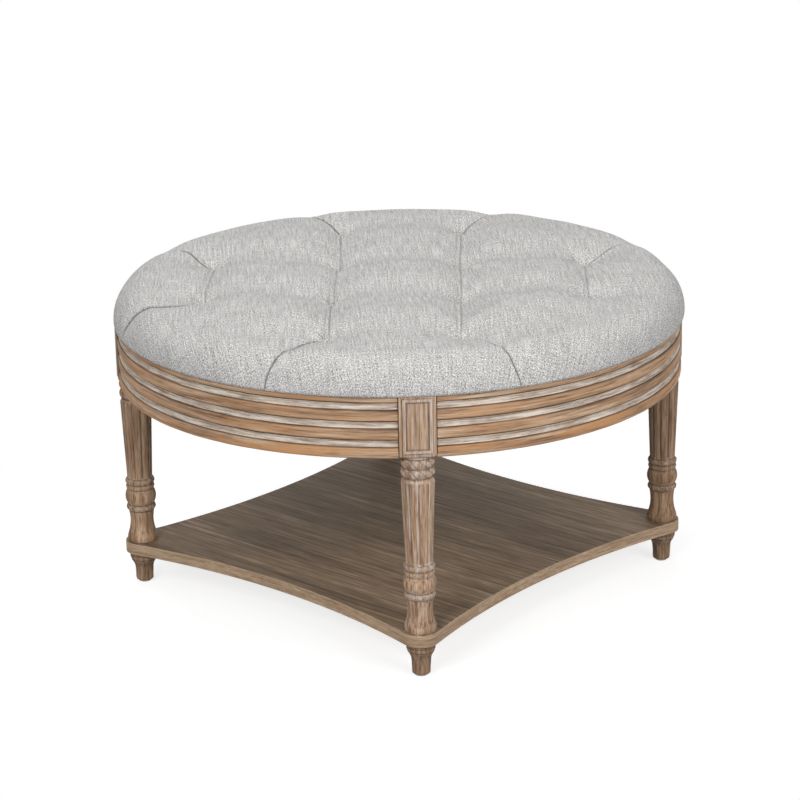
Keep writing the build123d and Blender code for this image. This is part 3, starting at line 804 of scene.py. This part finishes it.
def turned_leg():
    """The turned part of a leg, with its ropes and reeds, and how washed and how shaded each point is."""
    heights = np.concatenate([np.arange(*stretch) for stretch in LEG_STEPS])
    columns = 210
    turn = full_turn(columns)[None, :]
    level = heights[:, None] + 0 * turn
    radii = turned_radius(heights)[:, None] + 0 * turn
    wash = 0.34 + 0 * level
    shade = 0 * level
    for edge in RING_EDGES:
        wash = np.maximum(wash, 0.9 * ridge(level - edge - 1.2, 1.4))
        shade = np.maximum(shade, 0.85 * ridge(level - edge, 0.6))
    # The carved ropes: slanting leaves, each with a fine vein
    for low, high, count, rise in ROPES:
        across = (2 * level - low - high) / (high - low)
        along = (turn * count / (2 * math.pi) + 0.5 * across + 0.5) % 1 - 0.5
        leaf = np.sqrt(np.clip(1 - (along / 0.49) ** 2 - across**2, 0, 1))
        vein = 0.12 * ridge(along, 0.07) * leaf
        on = np.abs(across) < 1
        radii = radii + on * rise * (leaf - vein - 0.5)
        wash = np.where(on, 0.85 - 0.45 * leaf, wash)
        shade = np.where(on, (0.2 + 0.2 * rise) * np.clip(1 - leaf * 2.8, 0, 1), shade)
    # The reeded shaft, whose reeds end in round tops
    along = (turn * REEDS / (2 * math.pi)) % 1 - 0.5
    groove = ridge(np.abs(along) - 0.5, 0.10)
    body = smooth(level, SHAFT_LOW + 0.6, SHAFT_LOW + 3) * (1 - smooth(level, SHAFT_HIGH - 6, SHAFT_HIGH - 2.5))
    on = (level > SHAFT_LOW) & (level < SHAFT_HIGH)
    top = smooth(level, SHAFT_HIGH - 5, SHAFT_HIGH)
    reeded = radii - (groove + np.abs(2 * along) ** 3) * body - 1.9 * top**2
    radii = np.where(on, reeded, radii)
    flat = 0.30 + 0.35 * ridge(np.abs(along) - 0.36, 0.07)
    wash = np.where(on, np.maximum(flat, 0.75 * top + 0.7 * ridge(level - SHAFT_LOW, 5)), wash)
    shade = np.where(on, 0.55 * ridge(np.abs(along) - 0.5, 0.06) * body, shade)
    # The bell above the shelf, with shallow gouges that run up it
    gouge = np.sin(turn * 9 + level * 0.04) + 0.6 * np.sin(turn * 17 - level * 0.07)
    bell = smooth(level, 72, 80) * (1 - smooth(level, 104, 109))
    radii = radii + 0.22 * gouge * bell
    shade = np.maximum(shade, 0.35 * bell * smooth(-gouge, 0.7, 1.5))
    points, faces = lathe(heights, radii, columns)
    return points, faces, wash.ravel(), shade.ravel()


def leg_block():
    """The square block at the leg's head, its outer face bowed to the apron and framed by a moulding."""
    face, half, back = 22.5, 24.3, -24.3
    foot_round, side_round = 5, 1.2
    frame_half, frame_half_height = 19.9, 37.3
    height = APRON_TOP - APRON_BOTTOM
    u, z = np.meshgrid(np.linspace(-half, half, 121), np.linspace(0, height, 201))
    # A bead frames a sunk panel, whose distance inside the frame is inside
    inside = np.minimum(frame_half - np.abs(u), frame_half_height - np.abs(z - height / 2))
    bead = np.sqrt(np.clip(1 - ((inside - 2.6) / 2.3) ** 2, 0, 1))
    relief = -0.8 * ridge(inside, 0.55) + 1.3 * bead * (inside > 0)
    relief -= 1.9 * smooth(inside, 4.5, 5.6) + 0.4 * ridge(inside - 6.0, 0.5)
    # The block's lower end is rounded in, and its front corners are eased
    drop = np.clip(foot_round - z, 0, foot_round)
    round_in = foot_round - np.sqrt(np.clip(foot_round**2 - drop**2, 0, None))
    brink = np.clip(np.abs(u) - (half - side_round), 0, side_round)
    corner = side_round - np.sqrt(np.clip(side_round**2 - brink**2, 0, None))
    x = face - u**2 / (2 * (APRON_RADIUS + 2)) + relief - 0.75 * round_in - corner
    wide = u * (1 - 0.7 * round_in / half)
    front = np.stack([x.ravel(), wide.ravel(), (APRON_BOTTOM + z).ravel()], 1)
    rows, columns = u.shape
    faces = sheet_faces(rows, columns)
    ring = [row * columns for row in range(rows - 1, 0, -1)] + list(range(columns))
    ring += [row * columns + columns - 1 for row in range(1, rows)]
    ring += [(rows - 1) * columns + column for column in range(columns - 2, 0, -1)]
    behind = front[ring].copy()
    behind[:, 0] = back + 0.7 * round_in.ravel()[ring]
    start, count = len(front), len(ring)
    faces += [(ring[k], start + k, start + (k + 1) % count, ring[(k + 1) % count]) for k in range(count)]
    faces.append(tuple(range(start + count - 1, start - 1, -1)))
    wash = 0.30 + 0.9 * bead * (inside > 0) + 0.06 * smooth(inside, 5.0, 6.4)
    wash += 0.35 * smooth(6 - z, 0, 4) * (np.abs(u) < 19)
    shade = 0.4 * ridge(inside, 0.6) + 0.5 * ridge(inside - 5.5, 0.7) + 0.08 * smooth(inside, 5.0, 6.4)
    shade = np.maximum(shade, 0.5 * ridge(half - np.abs(u), 0.5))
    points = np.concatenate([front, behind])
    wash = np.concatenate([wash.ravel(), np.full(count, 0.2)])
    shade = np.concatenate([shade.ravel(), np.zeros(count)])
    return points, faces, wash, shade


# Height and radius of the foot, and how washed and how shaded it is there
FOOT = np.array([
    (3, 11.0, 0.0, 0.6), (3.5, 11.9, 0.0, 0.4), (4.6, 12.3, 0.1, 0.1), (8, 12.4, 0.05, 0.05), (12, 12.5, 0, 0.1),
    (16, 12.7, 0, 0.12), (20, 12.9, 0, 0.15), (23, 13.1, 0, 0.2), (25, 13.3, 0, 0.25), (27, 13.8, 0, 0.3),
    (29, 14.6, 0.05, 0.3), (31, 15.7, 0.1, 0.25), (33, 17.0, 0.2, 0.2), (34.2, 17.8, 0.5, 0.1),
    (34.8, 17.6, 0.2, 0.7), (35.4, 17.5, 0.2, 0.7), (36, 18.3, 0.7, 0.0), (37.5, 19.0, 0.5, 0.0),
    (39.5, 19.3, 0.3, 0.1), (41, 18.9, 0.3, 0.3), (41.6, 18.6, 0.2, 0.6), (42.2, 18.8, 0.6, 0.1),
    (44, 19.4, 0.3, 0.1), (46, 19.3, 0.2, 0.4), (47, 18.8, 0.1, 0.8),
])


def foot_form():
    """The turned foot under the shelf, from its collar down to the glide."""
    heights, radius, wash, shade = FOOT.T
    columns = 96
    turn = full_turn(columns)[None, :]
    level = heights[:, None]
    gouge = np.sin(turn * 7 + level * 0.2) + 0.7 * np.sin(turn * 12 - level * 0.1)
    radii = radius[:, None] + 0.18 * gouge * smooth(level, 4, 8)
    points, faces = lathe(heights, radii, columns)
    dark = 0.22 * smooth(-gouge, 0.6, 1.5)
    return points, faces, np.repeat(wash, columns), np.clip(shade[:, None] + dark, 0, 1).ravel()


# How much painted shade each leg that stands away from the lamps gets, with its wash thinned to match
LEG_PAINTED_SHADE = {"right": 1.15, "back": 1.15, "left": 1, "front": 0}


def table_legs(finish):
    """The four legs, each one piece from its block down to the shelf, and the foot under each."""
    shaft, shaft_faces, shaft_wash, shaft_shade = turned_leg()
    block, block_faces, block_wash, block_shade = leg_block()
    foot, foot_faces, foot_wash, foot_shade = foot_form()
    points = np.concatenate([shaft, block])
    faces = shaft_faces + [tuple(index + len(shaft) for index in face) for face in block_faces]
    # Painted shade for the legs in shade, heavier up the shaft than lower down
    painted_leg_shade = 0.12 + 0.16 * smooth(points[:, 2], 150, 180)
    for side, angle in LEG_ANGLES.items():
        in_shade = LEG_PAINTED_SHADE[side]
        values = {
            "wash": np.concatenate([shaft_wash, block_wash]) - 0.24 * in_shade,
            "shade": np.clip(np.concatenate([shaft_shade, block_shade]) + in_shade * painted_leg_shade, 0, 1),
        }
        make_piece(f"turned_leg_{side}", turned_out(points, angle, LEG_CIRCLE), faces, finish,
                   [f"leg_{side}"], values)
        # The feet carry less wash than the legs, and extra painted shade all over
        values = {"wash": foot_wash - 0.34, "shade": np.clip(foot_shade + 0.24, 0, 1)}
        make_piece(f"turned_foot_{side}", turned_out(foot, angle, LEG_CIRCLE), foot_faces, finish,
                   [f"foot_{side}"], values)


# Shelf


def quarter_outline():
    """The shelf's outline over one quarter, from the tip at 0 degrees round to the tip at 90, with its normals."""
    # Each side is an arc that touches both round tips and sags in from the straight line between them
    half_side = LEG_CIRCLE * math.sqrt(0.5)
    middle = half_side + TIP_RADIUS - SHELF_SAG
    radius = (middle**2 - 2 * middle * half_side + LEG_CIRCLE**2 - TIP_RADIUS**2) / (2 * SHELF_SAG)
    centre = (middle + radius) * math.sqrt(0.5)
    lean = math.atan2(centre, centre - LEG_CIRCLE)
    points, normals = [], []
    for turn in np.linspace(0, lean, 24):
        normals.append((math.cos(turn), math.sin(turn)))
        points.append((LEG_CIRCLE + TIP_RADIUS * math.cos(turn), TIP_RADIUS * math.sin(turn)))
    for turn in np.linspace(lean + math.pi, 1.5 * math.pi - lean, 60)[1:]:
        normals.append((-math.cos(turn), -math.sin(turn)))
        points.append((centre + radius * math.cos(turn), centre + radius * math.sin(turn)))
    for turn in np.linspace(math.pi / 2 - lean, math.pi / 2, 24)[1:]:
        normals.append((math.cos(turn), math.sin(turn)))
        points.append((TIP_RADIUS * math.cos(turn), LEG_CIRCLE + TIP_RADIUS * math.sin(turn)))
    return np.array(points), np.array(normals)


def shelf(veneer, band):
    """The edge band in four lengths, and the veneered board inside it and over its top."""
    outline, normals = quarter_outline()
    count = len(outline)
    seam = SHELF_TOP - VENEER
    # Inset and height round the band's section, whose outer edges are eased, and how rubbed the wood is there
    section = [(BAND_WALL, SHELF_BOTTOM), (0.7, SHELF_BOTTOM), (0.15, 47.3), (0.0, 47.8), (0.0, 48.4),
               (0.0, 61.6), (0.0, 62.2), (0.12, 62.8), (0.4, seam), (BAND_WALL, seam)]
    rub = [0, 0.3, 0.8, 0.3, 0.1, 0.1, 0.3, 1.0, 0.8, 0]
    for side, angle in RAIL_ANGLES.items():
        rings = [np.column_stack([outline - normals * inset, np.full(count, level)]) for inset, level in section]
        make_piece(f"shelf_edge_band_{side}", turned_out(np.concatenate(rings), angle),
                   bar_faces(len(section), count), band, [f"shelf_edge_{side}"],
                   {"rub": np.repeat(rub, count)}, crisp=50)
    whole, outward = [], []
    for quarter in range(4):
        turn = math.radians(90 * quarter)
        spin = np.array([(math.cos(turn), math.sin(turn)), (-math.sin(turn), math.cos(turn))])
        whole.append(outline[:-1] @ spin)
        outward.append(normals[:-1] @ spin)
    whole, outward = np.concatenate(whole), np.concatenate(outward)
    count = len(whole)
    section = [(BAND_WALL, SHELF_BOTTOM), (BAND_WALL, seam), (0.35, seam), (0.3, seam + 0.5), (0.8, SHELF_TOP)]
    rings = [np.column_stack([whole - outward * inset, np.full(count, level)]) for inset, level in section]
    make_piece("shelf_board", np.concatenate(rings), capped_faces(len(section), count), veneer,
               ["shelf_panel"], crisp=20)


# Setting


def give(finish, *names):
    """Puts a finish on CAD nodes that stay as they are."""
    for name in names:
        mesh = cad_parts[name].data
        mesh.materials.clear()
        mesh.materials.append(finish)


def place_camera():
    """A long lens, well back and looking down on the top."""
    place = (-0.190236, -3.635364, 1.448025)
    yaw, pitch, roll = 0.0519379, 0.3158430, -0.0211873
    ahead = Vector((math.sin(yaw), math.cos(yaw), 0))
    across = Vector((math.cos(yaw), -math.sin(yaw), 0))
    upward = Vector((0, 0, 1))
    forward = ahead * math.cos(pitch) - upward * math.sin(pitch)
    level = ahead * math.sin(pitch) + upward * math.cos(pitch)
    right = across * math.cos(roll) + level * math.sin(roll)
    head = level * math.cos(roll) - across * math.sin(roll)
    camera = bpy.data.objects.new("camera", bpy.data.cameras.new("camera"))
    camera.data.sensor_width = 36
    camera.data.lens = 121.10
    camera.data.clip_end = 100
    turn = Matrix((right, head, -forward)).transposed().to_4x4()
    camera.matrix_world = Matrix.Translation(place) @ turn
    bpy.context.scene.collection.objects.link(camera)
    bpy.context.scene.camera = camera


def soft_box(name, place, size, power):
    """A large soft lamp that faces the middle of the table."""
    aim = Vector((0, 0, 0.25))
    lamp = bpy.data.lights.new(name, "AREA")
    lamp.shape = "RECTANGLE"
    lamp.size, lamp.size_y = size
    lamp.energy = power
    box = bpy.data.objects.new(name, lamp)
    box.location = place
    box.rotation_euler = (aim - Vector(place)).to_track_quat("-Z", "Y").to_euler()
    bpy.context.scene.collection.objects.link(box)


def background_ray(finish):
    """1 for what the camera sees, straight or in a reflection, and 0 for light that falls on the table."""
    seen = finish.node("ShaderNodeLightPath", output="Is Camera Ray")
    for output in ("Is Glossy Ray", "Is Transmission Ray"):
        seen = seen.math("MAXIMUM", finish.node("ShaderNodeLightPath", output=output))
    return seen


def pale_floor():
    """A white floor that keeps the table's soft shadow and runs out into the white of the room."""
    mesh = bpy.data.meshes.new("floor")
    reach = 40.0
    fade_start, fade_end = 0.40, 0.80
    corners = [(-reach, -reach, 0), (reach, -reach, 0), (reach, reach, 0), (-reach, reach, 0)]
    mesh.from_pydata(corners, [], [(0, 1, 2, 3)])
    floor = bpy.data.objects.new("floor", mesh)
    bpy.context.scene.collection.objects.link(floor)
    paint = Finish("pale_floor")
    diffuse = paint.node("ShaderNodeBsdfDiffuse", inputs={"Color": (0.46, 0.46, 0.46, 1)})
    glow = paint.node("ShaderNodeEmission", inputs={"Color": (1, 1, 1, 1), "Strength": 0.76})
    lit = paint.node("ShaderNodeAddShader", inputs=[diffuse, glow])
    white = paint.node("ShaderNodeEmission", inputs={"Color": (1, 1, 1, 1), "Strength": 1.0})
    away = paint.node("ShaderNodeVectorMath", {"operation": "LENGTH"}, [paint.place()], output="Value")
    shown = paint.node("ShaderNodeMixShader", inputs=[paint.ease(away, fade_start, fade_end), lit, white])
    floor_shader = paint.node("ShaderNodeMixShader", inputs=[background_ray(paint), diffuse, shown])
    paint.node("ShaderNodeOutputMaterial", inputs={"Surface": floor_shader})
    mesh.materials.append(paint.owner)


def white_room():
    """White behind the table, and only a little light from all round on it."""
    bpy.context.scene.world = bpy.data.worlds.new("white_room")
    room = Finish("white_room", bpy.context.scene.world)
    soft = room.node("ShaderNodeBackground", inputs={"Color": (1, 1, 1, 1), "Strength": 0.16})
    white = room.node("ShaderNodeBackground", inputs={"Color": (1, 1, 1, 1), "Strength": 1.0})
    shown = room.node("ShaderNodeMixShader", inputs=[background_ray(room), soft, white])
    room.node("ShaderNodeOutputWorld", inputs={"Surface": shown})


place_camera()
pale_floor()
white_room()
soft_box("lamp_left", (-1.9, -3.1, 2.4), (1.8, 1.8), 78)
soft_box("lamp_right", (2.3, -3.1, 1.9), (2.2, 2.2), 79)
soft_box("lamp_top", (-0.3, 0.9, 3.4), (2.0, 2.0), 47)
bpy.context.scene.view_settings.view_transform = "Standard"

tufted_cushion()
apron_rails(apron_finish())
table_legs(leg_finish())
shelf(shelf_finish(), edge_finish())
give(plain_wood("beech", screen(214, 182, 142), screen(180, 144, 104), (6, 60, 60)), "rail_tenons", "twine_toggles",
     *[f"corner_brace_{side}" for side in LEG_ANGLES])
give(plain_wood("plywood", screen(220, 192, 150), screen(186, 152, 108), (5, 40, 200)), "seat_deck")
give(plated_steel(), "brace_bolts", "brace_nuts", "deck_screws", "shelf_studs")
give(glide_nylon(), "floor_glides")
give(plain_cloth("base_foam", screen(236, 230, 206), screen(216, 208, 180), 900), "base_foam")
give(plain_cloth("waxed_twine", screen(222, 214, 196), screen(186, 176, 156), 1500), "tuft_twine")
give(plain_cloth("dust_cloth", screen(44, 44, 44), screen(24, 24, 24), 700), "dust_cover")
